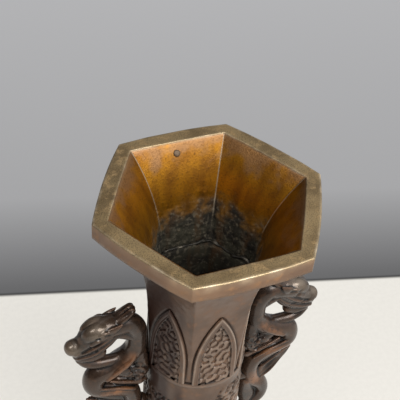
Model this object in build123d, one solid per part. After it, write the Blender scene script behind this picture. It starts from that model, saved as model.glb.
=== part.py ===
from build123d import *
import os
from math import cos, pi, radians, sin

# Bronze gu vessel: a hexagonal trumpet neck over a rounded middle section and a flared hexagonal foot,
# with a cast dragon handle riveted to two opposite corners. Millimetres, +Z up, base on Z = 0.
# The handles lie along X, so two corners of the hexagon are on X and two flat sides face along Y.

# Heights
height = 290.0            # base to rim
neck_length = 123.0       # ledge to rim
foot_length = 90.0        # base to the joint under the middle section
lip_height = 8.0          # upright band round the mouth
lip_turn = 1.5            # rounded-under part below that band
base_height = 10.0        # upright band round the foot
base_turn = 2.5           # rounded part above that band

# Widths across the rounded corners, and the rounding of those corners
mouth_corners = 130.0
lip_width = 7.6           # flat top of the lip, from outside to inside
lip_draw = 1.6            # how far the rounded-under part draws in
neck_corners = 61.0       # narrowest part of the neck
neck_lean = 10.0          # widening of the neck's straight part over its height
foot_neck_corners = 64.0  # top of the foot
base_corners = 113.0
ledge_step = 0.2          # how far the middle section stands out from the neck
lip_rounding = 1.2        # sharp corners at the mouth and the base
neck_rounding = 24.0      # nearly round at the ledge
middle_rounding = 28.0
bore_rounding = 5.0
flare_power = 6.0         # higher is a straighter neck with a more sudden flare
inner_flare_power = 4.5
foot_power = 3.0
rounding_power = 10.0     # higher keeps the corners sharp further down the neck

# Walls and fits
neck_wall = 2.0
middle_wall = 3.2
foot_wall = 3.4
spigot_wall = 2.0
fit_gap = 0.15            # between a spigot and its socket, on each side
spigot_length = 61.0      # middle section's spigot inside the neck
foot_spigot_length = 12.0  # middle section's spigot inside the foot
bead_height = 4.0         # raised rings at the top and bottom of the middle section
bead_step = 0.6
cavity_taper = 12.0       # height over which the middle section's bore widens
floor_thickness = 3.0
floor_rest_width = 3.5
floor_rest_height = 4.0
seam_width = 1.8
seam_height = 1.8

# Leaf-shaped panels on the neck and the foot
leaf_width = 26.6
leaf_length = 58.0
leaf_shoulder = 16.0      # straight part of the leaf's sides
leaf_border = 4.6
leaf_relief = 1.2
foot_leaf_length = 46.0

# S-shaped scrolls in rows round the middle section
scroll_radius = 3.3
scroll_width = 3.0
scroll_sweep = 230.0      # degrees of each of a scroll's two bends
scroll_lean = 45.0
scroll_relief = 0.6
scroll_columns = 12
scroll_rows = 4
scroll_margin = 9.0       # plain band above and below them

# Plug in the mouth's wall
plug_diameter = 4.0
plug_depth = 2.5
plug_drop = 5.0           # below the rim
plug_offset = -2.0        # along the wall

# Handles: reach is measured from the tangs' roots, and rise from the upper seat
upper_seat_drop = 9.0     # ledge down to the left handle's upper seat
handle_step = 4.0         # how much lower the right handle sits
seat_spacing = 33.0
seat_height = 2.4
handle_stand_off = 3.6    # length of the tangs that hold the dragon clear of its seats
seat_diameter = 12.0
coil_reach = 30.5
neck_rise = 48.5
body_radius = 6.6
head_length = 30.0
head_width = 15.0
head_drop = 11.5          # brow down to the nose
jaw_drop = 18.5
tail_drop = 27.0

# Rivets
rivet_diameter = 4.0
rivet_head_diameter = 8.0
rivet_head_height = 2.2
rivet_grip = 8.0          # length of the shank in the handle
rivet_gap = 0.1
rivet_boss_height = 1.6

# Places that follow from the sizes above
ledge_z = height - neck_length
foot_top = foot_length
flare_top = height - lip_height - lip_turn
flare_end = base_height + base_turn
seam_z = ledge_z + spigot_length
floor_top = foot_top - foot_spigot_length
floor_low = floor_top - floor_thickness
levels = (0.0, 0.05, 0.1, 0.16, 0.24, 0.36, 0.5, 0.63, 0.74, 0.83, 0.92, 1.0)


def flats_of(corners, rounding):
    return (corners - 2 * rounding) * cos(pi / 6) + 2 * rounding


def corners_of(flats, rounding):
    return (flats - 2 * rounding) / cos(pi / 6) + 2 * rounding


def hexagon(corners, rounding):
    outline = RegularPolygon(flats_of(corners, rounding) / 2, 6, major_radius=False)
    return fillet(outline.vertices(), rounding)


def hex_prism(corners, rounding, low, high):
    return Pos(0, 0, low) * extrude(hexagon(corners, rounding), high - low)


def hex_taper(low_corners, low_rounding, low, high_corners, high_rounding, high):
    bottom = Pos(0, 0, low) * hexagon(low_corners, low_rounding)
    top = Pos(0, 0, high) * hexagon(high_corners, high_rounding)
    return loft([bottom, top], ruled=True)


def flare_size(narrow, wide, power, t, lean=0.0):
    # across corners and rounding, with t from 0 at the narrow end to 1 at the wide end
    corners = narrow + lean * t + (wide - narrow - lean) * t**power
    rounding = lip_rounding + (neck_rounding - lip_rounding) * (1 - t) ** rounding_power
    return corners, rounding


def hex_flare(narrow, wide, power, start, end, lean=0.0, grow=0.0):
    sections = []
    for t in levels:
        corners, rounding = flare_size(narrow, wide, power, t, lean)
        outline = hexagon(corners + 2 * grow, rounding + grow)
        sections.append(Pos(0, 0, start + (end - start) * t) * outline)
    return loft(sections)


def leaf(width, length):
    # pointed arch standing on the local X axis
    half = width / 2
    side = Line((half, 0), (half, leaf_shoulder))
    arch = TangentArc((half, leaf_shoulder), (0, length), tangent=(0, 1))
    right = [side, arch]
    left = [mirror(edge, about=Plane.YZ) for edge in right]
    return make_face([Line((-half, 0), (half, 0)), *right, *left])


def leaf_borders(raised, base_z, length, up, start, reach):
    # the raised border of the leaf on each of the six faces
    border = leaf(leaf_width, length) - leaf(leaf_width - 2 * leaf_border, length - 2 * leaf_border)
    blank = Part()
    for face in range(6):
        angle = radians(30 + 60 * face)
        out = (cos(angle), sin(angle), 0)
        along = (-up * sin(angle), up * cos(angle), 0)
        plane = Plane(origin=(0, 0, base_z), x_dir=along, z_dir=out)
        blank += extrude(plane.offset(start) * border, reach - start)
    return blank & raised


def seam_ring(wall, flat_z, tip_z):
    # solder fillet inside a hexagonal wall, wide where it lies on the flat and thin at its tip
    corners = wall[0] - 2 * fit_gap
    rounding = wall[1] - fit_gap
    thin = seam_width / 3
    hollow = hex_taper(
        corners - 2 * seam_width, rounding, flat_z, corners - 2 * thin, rounding, tip_z
    )
    return hex_prism(corners, rounding, flat_z, tip_z) - hollow


# Sockets and spigots: the neck's socket clears the neck's wall where the neck is thinnest
seam_share = spigot_length / (flare_top - ledge_z)


def neck_flats(t):
    return flats_of(*flare_size(neck_corners, mouth_corners - 2 * lip_draw, flare_power, t, neck_lean))


socket_flats = min(neck_flats(seam_share * t) for t in levels) - 2 * neck_wall
socket_corners = corners_of(socket_flats, bore_rounding)
spigot_corners = socket_corners - 2 * fit_gap
spigot_bore = spigot_corners - 2 * spigot_wall
foot_socket_corners = foot_neck_corners - 2 * foot_wall
foot_spigot_corners = foot_socket_corners - 2 * fit_gap
foot_bore = foot_spigot_corners - 2 * spigot_wall
floor_opening = foot_spigot_corners - 2 * floor_rest_width
middle_corners = neck_corners + 2 * ledge_step
cavity_corners = middle_corners - 2 * middle_wall
cavity_rounding = middle_rounding - middle_wall
lip_inner_corners = corners_of(flats_of(mouth_corners, lip_rounding) - 2 * lip_width, lip_rounding)


def inner_size(z):
    # across corners and rounding of the mouth's inner wall
    share = (z - ledge_z) / neck_length
    corners = socket_corners + (lip_inner_corners - socket_corners) * share**inner_flare_power
    rounding = lip_rounding + (bore_rounding - lip_rounding) * max(1 - share, 0.0)
    return corners, rounding


def inner_half(z):
    return flats_of(*inner_size(z)) / 2


# Mouth and neck
def plug_plane(lift):
    # square to the mouth's inner wall, which leans outwards
    z = height - plug_drop
    lean = (inner_half(z + plug_diameter / 2) - inner_half(z - plug_diameter / 2)) / plug_diameter
    out = Vector(0, -1, lean).normalized()
    place = Vector(plug_offset, inner_half(z), z) + out * lift
    return Plane(origin=place, x_dir=(1, 0, 0), z_dir=out)


def make_neck():
    flare_corners = mouth_corners - 2 * lip_draw
    outside = hex_flare(neck_corners, flare_corners, flare_power, ledge_z, flare_top, neck_lean)
    outside += hex_taper(
        flare_corners, lip_rounding, flare_top, mouth_corners, lip_rounding, height - lip_height
    )
    outside += hex_prism(mouth_corners, lip_rounding, height - lip_height, height)
    raised = hex_flare(neck_corners, flare_corners, flare_power, ledge_z, flare_top, neck_lean, leaf_relief)
    outside += leaf_borders(raised, ledge_z, leaf_length, 1, socket_flats / 2, mouth_corners / 2)
    sections = []
    for share in (0.0, 0.3, 0.55, 0.75, 0.9, 1.02):
        z = seam_z + (height - seam_z) * share
        sections.append(Pos(0, 0, z) * hexagon(*inner_size(z)))
    inside = loft(sections)
    socket = hex_prism(socket_corners, bore_rounding, ledge_z, seam_z)
    hole = extrude(plug_plane(plug_depth) * Circle(plug_diameter / 2 + fit_gap), -2 * plug_depth)
    return outside - inside - socket - hole


def make_plug():
    return extrude(plug_plane(0) * Circle(plug_diameter / 2), -plug_depth)


# Handle seats and rivets, on the vessel's corner at +X
seat_x = middle_corners / 2 + seat_height
handle_x = seat_x + handle_stand_off
boss_x = cavity_corners / 2 - rivet_boss_height
left_seats = (ledge_z - upper_seat_drop, ledge_z - upper_seat_drop - seat_spacing)
right_seats = tuple(z - handle_step for z in left_seats)


def bar_x(diameter, start, end, z):
    plane = Plane(origin=(start, 0, z), x_dir=(0, 1, 0), z_dir=(1, 0, 0))
    return extrude(plane * Circle(diameter / 2), end - start)


def to_left(shape):
    return Rot(0, 0, 180) * shape


def make_rivet(z):
    shank = bar_x(rivet_diameter, boss_x, seat_x + rivet_grip, z)
    head = bar_x(rivet_head_diameter, boss_x - rivet_head_height, boss_x, z)
    rim = head.edges().sort_by(Axis.X)[0]
    return fillet(rim, rivet_head_height * 0.8) + shank


# Middle section
def middle_outside(grow):
    return hex_prism(middle_corners + 2 * grow, middle_rounding + grow, foot_top, ledge_z)


def scroll():
    # two bends that meet in the middle
    bend = SlotArc(CenterArc((0, scroll_radius), scroll_radius, -90, scroll_sweep), scroll_width)
    return bend + Rot(0, 0, 180) * bend


def make_scrolls():
    # every other column stands half a row higher
    low = foot_top + scroll_margin
    row_height = (ledge_z - scroll_margin - low) / scroll_rows
    start = middle_corners / 2 - middle_wall / 2
    strokes = []
    for row in range(scroll_rows):
        for column in range(scroll_columns):
            angle = 2 * pi * (column + 0.5) / scroll_columns
            out = (cos(angle), sin(angle), 0)
            along = (-sin(angle), cos(angle), 0)
            rise = row_height * (row + 0.25 + 0.5 * (column % 2))
            plane = Plane(origin=(0, 0, low + rise), x_dir=along, z_dir=out)
            lean = scroll_lean * (-1) ** (row + column)
            strokes.append(extrude(plane.offset(start) * Rot(0, 0, lean) * scroll(), middle_wall))
    return (Part() + strokes) & middle_outside(scroll_relief)


def make_middle():
    body = middle_outside(0) + make_scrolls()
    for low in (foot_top, ledge_z - bead_height):
        bead = hex_prism(middle_corners + 2 * bead_step, middle_rounding + bead_step, low, low + bead_height)
        rims = [edge for edge in bead.edges() if abs(edge.tangent_at(0.5).Z) < 0.5]
        body += fillet(rims, bead_height * 0.4)
    body += hex_prism(spigot_corners, bore_rounding, ledge_z, seam_z)
    body += hex_prism(foot_spigot_corners, bore_rounding, floor_top, foot_top)
    low_taper = foot_top + cavity_taper
    high_taper = ledge_z - cavity_taper
    bore = hex_prism(spigot_bore, bore_rounding, ledge_z, seam_z)
    bore += hex_prism(foot_bore, bore_rounding, floor_top, foot_top)
    bore += hex_taper(foot_bore, bore_rounding, foot_top, cavity_corners, cavity_rounding, low_taper)
    bore += hex_prism(cavity_corners, cavity_rounding, low_taper, high_taper)
    bore += hex_taper(cavity_corners, cavity_rounding, high_taper, spigot_bore, bore_rounding, ledge_z)
    body -= bore
    for seats, turn in ((right_seats, 0), (left_seats, 180)):
        for z in seats:
            boss = bar_x(seat_diameter, boss_x, seat_x, z)
            hole = bar_x(rivet_diameter + 2 * rivet_gap, boss_x - 1, seat_x + 1, z)
            body += Rot(0, 0, turn) * boss
            body -= Rot(0, 0, turn) * hole
    return body


# Foot and floor
def make_foot():
    flare_corners = base_corners - 2 * lip_draw
    outside = hex_flare(foot_neck_corners, flare_corners, foot_power, foot_top, flare_end)
    outside += hex_taper(base_corners, lip_rounding, base_height, flare_corners, lip_rounding, flare_end)
    outside += hex_prism(base_corners, lip_rounding, 0, base_height)
    raised = hex_flare(foot_neck_corners, flare_corners, foot_power, foot_top, flare_end, grow=leaf_relief)
    outside += leaf_borders(raised, foot_top, foot_leaf_length, -1, foot_socket_corners / 2, base_corners / 2)
    rest_low = floor_low - floor_rest_height
    hollow_corners = flare_corners - 2 * foot_wall
    sections = []
    for share in (0.0, 0.25, 0.5, 0.75, 1.0):
        z = rest_low + (flare_end - rest_low) * share
        t = (foot_top - z) / (foot_top - flare_end)
        corners = flare_size(foot_neck_corners, flare_corners, foot_power, t)[0] - 2 * foot_wall
        sections.append(Pos(0, 0, z) * hexagon(corners, bore_rounding))
    inside = loft(sections)
    inside += hex_prism(hollow_corners, bore_rounding, 0, flare_end)
    inside += hex_prism(floor_opening, bore_rounding, rest_low, floor_low)
    inside += hex_prism(foot_socket_corners, bore_rounding, floor_low, foot_top)
    return outside - inside


def make_floor():
    return hex_prism(foot_spigot_corners, bore_rounding, floor_low, floor_top)


# Dragon handle, facing +X, with the root of its upper tang at the origin
def tube(route):
    # loft through ellipses square to a route in the XZ plane: place, half height, half width
    sections = []
    for i, (reach, rise, tall, wide) in enumerate(route):
        before = route[max(i - 1, 0)]
        after = route[min(i + 1, len(route) - 1)]
        heading = (after[0] - before[0], 0, after[1] - before[1])
        plane = Plane(origin=(reach, 0, rise), x_dir=(0, 1, 0), z_dir=heading)
        sections.append(plane * Ellipse(wide, tall))
    return loft(sections)


def make_body():
    # the neck arches back to the vessel, the chest swings out under the chin, and the coil returns to the wall
    r = body_radius
    wall = 0.95 * r
    route = [
        (0.5 * coil_reach, neck_rise - 0.5, 1.05 * r, 1.05 * r),
        (0.28 * coil_reach, neck_rise - 0.5, 1.0 * r, 1.0 * r),
        (wall, 0.87 * neck_rise, 0.95 * r, 0.95 * r),
        (0.85 * wall, 0.67 * neck_rise, 0.92 * r, 0.92 * r),
        (0.2 * coil_reach, 0.48 * neck_rise, 0.92 * r, 0.95 * r),
        (0.38 * coil_reach, 0.32 * neck_rise, 0.95 * r, r),
        (0.61 * coil_reach, 0.21 * neck_rise, r, r),
        (0.85 * coil_reach, 0.11 * neck_rise, r, r),
        (coil_reach, -0.05 * seat_spacing, r, r),
        (0.95 * coil_reach, -0.3 * seat_spacing, r, r),
        (0.73 * coil_reach, -0.5 * seat_spacing, r, r),
        (0.48 * coil_reach, -0.64 * seat_spacing, 0.97 * r, 0.97 * r),
        (0.28 * coil_reach, -0.81 * seat_spacing, 0.92 * r, 0.92 * r),
        (wall, -seat_spacing, 0.87 * r, 0.87 * r),
        (0.28 * coil_reach, -seat_spacing - 0.26 * tail_drop, 0.83 * r, 0.83 * r),
        (0.46 * coil_reach, -seat_spacing - 0.43 * tail_drop, 0.8 * r, 0.8 * r),
        (0.62 * coil_reach, -seat_spacing - 0.63 * tail_drop, 0.72 * r, 0.72 * r),
        (0.6 * coil_reach, -seat_spacing - 0.88 * tail_drop, 0.62 * r, 0.62 * r),
        (0.42 * coil_reach, -seat_spacing - tail_drop, 0.5 * r, 0.5 * r),
        (0.24 * coil_reach, -seat_spacing - 0.95 * tail_drop, 0.3 * r, 0.3 * r),
    ]
    return tube(route)


def make_head():
    # skull, brow and snout run outwards and down from the arch, and the jaw and beard lie on the chest
    back = 0.46 * coil_reach
    half = head_width / 2
    skull = tube([
        (back, neck_rise - 0.09 * head_drop, 0.87 * half, 0.87 * half),
        (back + 0.2 * head_length, neck_rise, half, half),
        (back + 0.43 * head_length, neck_rise - 0.13 * head_drop, half, half),
        (back + 0.6 * head_length, neck_rise - 0.43 * head_drop, 0.86 * half, 0.88 * half),
        (back + 0.75 * head_length, neck_rise - 0.76 * head_drop, 0.64 * half, 0.74 * half),
        (back + 0.88 * head_length, neck_rise - 0.95 * head_drop, 0.58 * half, 0.68 * half),
        (back + 0.98 * head_length, neck_rise - 1.03 * head_drop, 0.34 * half, 0.44 * half),
    ])
    nose = Pos(back + 0.88 * head_length, 0, neck_rise - 0.9 * head_drop) * Sphere(0.58 * half)
    jaw = tube([
        (back + 0.1 * head_length, neck_rise - 0.46 * jaw_drop, 0.55 * half, 0.75 * half),
        (back + 0.27 * head_length, neck_rise - 0.78 * jaw_drop, 0.66 * half, 0.75 * half),
        (back + 0.52 * head_length, neck_rise - jaw_drop, 0.6 * half, 0.68 * half),
        (back + 0.84 * head_length, neck_rise - jaw_drop, 0.34 * half, 0.46 * half),
    ])
    beard = tube([
        (back + 0.74 * head_length, neck_rise - 1.27 * jaw_drop, 0.3 * half, 0.4 * half),
        (back + 0.5 * head_length, neck_rise - 1.52 * jaw_drop, 0.42 * half, 0.46 * half),
        (back + 0.23 * head_length, neck_rise - 1.63 * jaw_drop, 0.43 * half, 0.45 * half),
        (back - 0.03 * head_length, neck_rise - 1.54 * jaw_drop, 0.43 * half, 0.44 * half),
        (back - 0.2 * head_length, neck_rise - 1.27 * jaw_drop, 0.4 * half, 0.4 * half),
    ])
    chin = tube([
        (back + 0.32 * head_length, neck_rise - 1.22 * jaw_drop, 0.5 * half, 0.46 * half),
        (back + 0.54 * head_length, neck_rise - 1.26 * jaw_drop, 0.5 * half, 0.46 * half),
        (back + 0.75 * head_length, neck_rise - 1.16 * jaw_drop, 0.38 * half, 0.42 * half),
    ])
    head = skull + nose + jaw + beard + chin
    for side in (-1, 1):
        horn = tube([
            (back + 0.2 * head_length, neck_rise + 0.35 * head_drop, 0.38 * half, 0.38 * half),
            (back - 0.05 * head_length, neck_rise + 0.75 * head_drop, 0.36 * half, 0.36 * half),
            (back - 0.28 * head_length, neck_rise + 0.98 * head_drop, 0.26 * half, 0.26 * half),
        ])
        ear = tube([
            (back + 0.3 * head_length, neck_rise + 0.2 * head_drop, 0.4 * half, 0.2 * half),
            (back + 0.12 * head_length, neck_rise + 0.55 * head_drop, 0.34 * half, 0.16 * half),
            (back - 0.05 * head_length, neck_rise + 0.87 * head_drop, 0.08 * half, 0.08 * half),
        ])
        head += Pos(0, side * 0.28 * half, 0) * horn
        head += Pos(0, side * 0.66 * half, 0) * ear
    return head


def make_handle():
    r = body_radius
    seat = seat_diameter / 2
    body = make_body() + make_head()
    foreleg = tube([
        (0.5 * coil_reach, 0.25 * neck_rise, 0.9 * r, 0.9 * r),
        (0.3 * coil_reach, 0.12 * neck_rise, 0.95 * r, 0.95 * r),
        (0.12 * coil_reach, 0.02 * neck_rise, 0.9 * r, 0.9 * r),
    ])
    bracket = tube([
        (0.04 * coil_reach, 0.38 * neck_rise, 0.55 * r, 0.65 * r),
        (0.05 * coil_reach, 0.23 * neck_rise, 0.72 * r, 0.85 * r),
        (0.07 * coil_reach, -0.02 * neck_rise, 0.8 * r, 0.9 * r),
        (0.12 * coil_reach, -0.27 * seat_spacing, 0.7 * r, 0.75 * r),
    ])
    paw = bar_x(0.9 * seat_diameter, -handle_stand_off, 0.75 * seat, 0)
    hip = bar_x(0.8 * seat_diameter, -handle_stand_off, 0.95 * r, -seat_spacing)
    fin = tube([
        (0.5 * coil_reach, -1.4 * seat_spacing, 0.6 * r, 0.4 * r),
        (0.82 * coil_reach, -1.0 * seat_spacing, 0.5 * r, 0.35 * r),
        (1.11 * coil_reach, -0.61 * seat_spacing, 0.18 * r, 0.15 * r),
    ])
    body = body + foreleg + bracket + paw + hip + fin
    bore = rivet_diameter + 2 * rivet_gap
    depth = rivet_grip + rivet_gap - handle_stand_off
    upper = bar_x(bore, -handle_stand_off, depth, 0)
    lower = bar_x(bore, -handle_stand_off, depth, -seat_spacing)
    return body - upper - lower


handle = make_handle()
parts = {
    "mouth_neck": make_neck(),
    "middle_section": make_middle(),
    "foot": make_foot(),
    "floor_plate": make_floor(),
    "wall_plug": make_plug(),
    "neck_solder_seam": seam_ring(inner_size(seam_z), seam_z, seam_z + seam_height),
    "floor_solder_seam": seam_ring((foot_bore, bore_rounding), floor_top, floor_top + seam_height),
    "foot_solder_seam": seam_ring((floor_opening, bore_rounding), floor_low, floor_low - seam_height),
    "right_dragon_handle": Pos(handle_x, 0, right_seats[0]) * handle,
    "left_dragon_handle": to_left(Pos(handle_x, 0, left_seats[0]) * handle),
    "right_upper_rivet": make_rivet(right_seats[0]),
    "right_lower_rivet": make_rivet(right_seats[1]),
    "left_upper_rivet": to_left(make_rivet(left_seats[0])),
    "left_lower_rivet": to_left(make_rivet(left_seats[1])),
}

os.makedirs("parts", exist_ok=True)
for name, shape in parts.items():
    export_step(shape, f"parts/{name}.step")
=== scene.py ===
import math

import bpy
import numpy as np
from mathutils import Matrix, Vector


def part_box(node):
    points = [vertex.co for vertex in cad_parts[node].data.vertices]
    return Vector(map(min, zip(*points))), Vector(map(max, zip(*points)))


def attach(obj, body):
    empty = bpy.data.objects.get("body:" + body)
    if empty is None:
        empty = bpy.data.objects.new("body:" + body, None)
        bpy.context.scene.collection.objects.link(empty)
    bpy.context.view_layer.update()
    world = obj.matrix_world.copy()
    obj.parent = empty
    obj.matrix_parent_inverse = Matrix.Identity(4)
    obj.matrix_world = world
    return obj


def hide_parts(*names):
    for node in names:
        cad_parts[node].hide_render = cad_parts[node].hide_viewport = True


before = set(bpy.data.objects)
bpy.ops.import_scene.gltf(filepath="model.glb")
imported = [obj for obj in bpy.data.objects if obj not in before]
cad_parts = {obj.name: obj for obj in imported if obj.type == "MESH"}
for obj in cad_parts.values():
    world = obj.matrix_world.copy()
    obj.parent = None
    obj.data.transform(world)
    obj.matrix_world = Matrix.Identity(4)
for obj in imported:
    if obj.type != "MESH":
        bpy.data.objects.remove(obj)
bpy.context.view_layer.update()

millimetre = 0.001  # shapes are worked out in millimetres, meshes are in metres
fullTurn = 2 * math.pi
cos30 = math.cos(math.pi / 6)


def boxOf(node):
    low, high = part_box(node)
    return np.array(low) / millimetre, np.array(high) / millimetre


# Heights and widths that the castings share, from the frame
neckLow, neckHigh = boxOf("mouth_neck")
middleLow, middleHigh = boxOf("middle_section")
footLow, footHigh = boxOf("foot")
ledgeZ, rimZ = neckLow[2], neckHigh[2]
spigotLow, seamZ = middleLow[2], middleHigh[2]
footTop = footHigh[2]
mouthCorners = neckHigh[0] - neckLow[0]
baseCorners = footHigh[0] - footLow[0]

castings = {
    "neckCorners": 61.0, "neckLean": 10.0, "footNeckCorners": 64.0, "lipDraw": 1.6, "lipRounding": 1.2,
    "neckRounding": 24.0, "roundingPower": 10.0, "boreRounding": 5.0, "boreCorners": 53.66,
    "socketCorners": 57.96,
}


def smoothStep(value, low, high):
    share = np.clip((value - low) / (high - low), 0.0, 1.0)
    return share * share * (3 - 2 * share)


def bell(value, centre, width):
    # 1 at the centre, fading evenly on both sides
    return np.exp(-(((value - centre) / width) ** 2))


def turnSteps(count):
    return np.linspace(0, fullTurn, count, endpoint=False)


def raised(flat, z):
    # points from complex places on the plan and their heights
    return np.stack([flat.real, flat.imag, np.broadcast_to(z, flat.shape)], axis=-1)


def flatsOf(corners, rounding):
    return (corners - 2 * rounding) * cos30 + 2 * rounding


def insetCorners(corners, inset):
    # across corners once every side has moved in by the inset
    return corners - 2 * inset / cos30


def flareSize(narrow, wide, power, t, lean=0.0):
    # across corners grow evenly by the lean and then with a power of t, while the corner rounding shrinks
    corners = narrow + lean * t + (wide - narrow - lean) * t**power
    sharp = castings["lipRounding"]
    rounding = sharp + (castings["neckRounding"] - sharp) * (1 - t) ** castings["roundingPower"]
    return corners, rounding


def flatShares(flatSteps):
    return np.linspace(0, 1, flatSteps + 2)[1:-1]


def hexColumns(arcSteps, flatSteps):
    # two directions for each column of a rounded hexagon, as complex numbers:
    # the place on a sharp hexagon of radius 1, and the way outwards
    arc = np.exp(1j * np.radians(np.linspace(-30, 30, arcSteps)))
    share = flatShares(flatSteps)
    side = (1 - share) + share * np.exp(1j * math.pi / 3)
    core = np.concatenate([np.ones(arcSteps), side])
    outward = np.concatenate([arc, np.full(flatSteps, np.exp(1j * math.pi / 6))])
    turns = np.exp(1j * math.pi / 3 * np.arange(6))[:, None]
    return (turns * core).ravel(), (turns * outward).ravel()


def hexRings(z, corners, rounding, columns, lift=0.0):
    # each ring is a sharp hexagon of radius corners / 2 - rounding, grown outwards by rounding + lift
    core, outward = columns
    flat = (corners / 2 - rounding)[:, None] * core + (rounding[:, None] + lift) * outward
    return raised(flat, z[:, None])


def waveNoise(points, wavelength, seed, waves=20):
    # sum of sine waves in random directions, about -1 to 1
    random = np.random.default_rng(seed)
    ways = random.normal(size=(waves, 3))
    lengths = wavelength * random.uniform(0.7, 1.4, waves)
    ways *= (fullTurn / lengths / np.linalg.norm(ways, axis=1))[:, None]
    phase = points @ ways.T + random.uniform(0, fullTurn, waves)
    return np.sin(phase).sum(-1) / math.sqrt(2 * waves)


def wormRelief(across, along, worm, waves=28, soft=0.28):
    # carved strokes: flat waves of nearly one length in many directions add up to worm-like ridges;
    # with a loop length the waves fit a whole number of times across
    random = np.random.default_rng(worm["seed"])
    ways = np.exp(1j * random.uniform(0, fullTurn, waves))
    ways *= random.uniform(0.9, 1.12, waves) * fullTurn / worm["pitch"]
    sideways, upwards = ways.real, ways.imag
    if "loop" in worm:
        onePerLoop = fullTurn / worm["loop"]
        sideways = np.round(sideways / onePerLoop) * onePerLoop
    start = random.uniform(0, fullTurn, waves)
    phase = across[..., None] * sideways + along[..., None] * upwards + start
    field = np.cos(phase).sum(-1) / math.sqrt(waves / 2)
    return smoothStep(field, worm["cut"] - soft, worm["cut"] + soft)


def ringSurface(points, closedRows=False):
    # quads between neighbouring rings; the last ring meets the first, or a fan closes each end
    rows, columns, _ = points.shape
    index = np.arange(rows * columns).reshape(rows, columns)
    beside = np.roll(index, -1, axis=1)
    last = rows if closedRows else rows - 1
    above, aboveBeside = np.roll(index, -1, axis=0), np.roll(beside, -1, axis=0)
    quads = np.stack([index, beside, aboveBeside, above], axis=-1)[:last].reshape(-1, 4)
    places = points.reshape(-1, 3)
    fans = np.zeros((0, 3), int)
    if not closedRows:
        places = np.concatenate([places, points[[0, -1]].mean(axis=1)])
        first, final = np.full(columns, rows * columns), np.full(columns, rows * columns + 1)
        fans = np.concatenate([
            np.stack([first, beside[0], index[0]], axis=-1),
            np.stack([final, index[-1], beside[-1]], axis=-1),
        ])
    corners = places[np.concatenate([quads[:, [0, 1, 2]], quads[:, [0, 2, 3]], fans])]
    if np.einsum("ij,ij->", corners[:, 0], np.cross(corners[:, 1], corners[:, 2])) < 0:
        quads, fans = quads[:, ::-1], fans[:, ::-1]
    return places, quads, fans


def makePiece(name, surfaces, materials, zones=None, marks=None):
    # joins closed surfaces into one object; marks are values at the points, zones pick each quad's material
    places, faces, start = [], [], 0
    for surface in surfaces:
        places.append(surface[0])
        faces += (surface[1] + start).tolist() + (surface[2] + start).tolist()
        start += len(surface[0])
    mesh = bpy.data.meshes.new(name)
    mesh.from_pydata((np.concatenate(places) * millimetre).tolist(), [], faces)
    mesh.polygons.foreach_set("use_smooth", np.ones(len(faces), bool))
    for material in materials:
        mesh.materials.append(material)
    if zones is not None:
        mesh.polygons.foreach_set("material_index", zones.astype(np.int32).ravel())
    for mark, values in (marks or {}).items():
        layer = mesh.attributes.new(mark, "FLOAT", "POINT")
        layer.data.foreach_set("value", values.astype(np.float32).ravel())
    mesh.update()
    piece = bpy.data.objects.new(name, mesh)
    bpy.context.scene.collection.objects.link(piece)
    return piece


def place(piece, slot, *nodes):
    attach(piece, "root")
    if nodes:
        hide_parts(*nodes)
    return piece


# Materials
def newMaterial(name):
    material = bpy.data.materials.new(name)
    material.use_nodes = True
    tree = material.node_tree
    return material, tree, tree.nodes["Principled BSDF"]


def feed(tree, node, values):
    # each socket takes a value, or a link from the output of another node
    for socket, value in values.items():
        if isinstance(value, bpy.types.NodeSocket):
            tree.links.new(value, node.inputs[socket])
        else:
            node.inputs[socket].default_value = value
    return node


def coordinatesFrom(tree, kind="Object"):
    return tree.nodes.new("ShaderNodeTexCoord").outputs[kind]


def noiseFrom(tree, coordinates, scale, detail=3.0, stretch=None):
    if stretch:
        mapping = tree.nodes.new("ShaderNodeMapping")
        coordinates = feed(tree, mapping, {"Vector": coordinates, "Scale": stretch}).outputs["Vector"]
    noise = tree.nodes.new("ShaderNodeTexNoise")
    return feed(tree, noise, {"Vector": coordinates, "Scale": scale, "Detail": detail}).outputs["Fac"]


def rangeFrom(tree, value, low, high, toLow=0.0, toHigh=1.0):
    span = tree.nodes.new("ShaderNodeMapRange")
    span.interpolation_type = "SMOOTHSTEP"
    feed(tree, span, {"Value": value, "From Min": low, "From Max": high, "To Min": toLow, "To Max": toHigh})
    return span.outputs["Result"]


def mixFrom(tree, factor, first, second):
    # first and second are a colour or the output of another node
    mix = tree.nodes.new("ShaderNodeMix")
    mix.data_type = "RGBA"
    colours = [(*colour, 1.0) if isinstance(colour, tuple) else colour for colour in (first, second)]
    return feed(tree, mix, {0: factor, 6: colours[0], 7: colours[1]}).outputs[2]


def tintFrom(tree, colour, cloud, span, other):
    return mixFrom(tree, rangeFrom(tree, cloud, *span), colour, other)


def mathFrom(tree, operation, *values):
    node = tree.nodes.new("ShaderNodeMath")
    node.operation = operation
    return feed(tree, node, dict(enumerate(values))).outputs["Value"]


def alongFrom(tree, coordinates, way):
    # how far a place lies along a way
    node = tree.nodes.new("ShaderNodeVectorMath")
    node.operation = "DOT_PRODUCT"
    return feed(tree, node, {0: coordinates, 1: way}).outputs["Value"]


def markFrom(tree, name):
    mark = tree.nodes.new("ShaderNodeAttribute")
    mark.attribute_name = name
    return mark.outputs["Fac"]


def addBump(tree, shader, height, distance, strength):
    bump = tree.nodes.new("ShaderNodeBump")
    feed(tree, bump, {"Strength": strength, "Distance": distance * millimetre, "Height": height})
    feed(tree, shader, {"Normal": bump.outputs["Normal"]})


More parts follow.
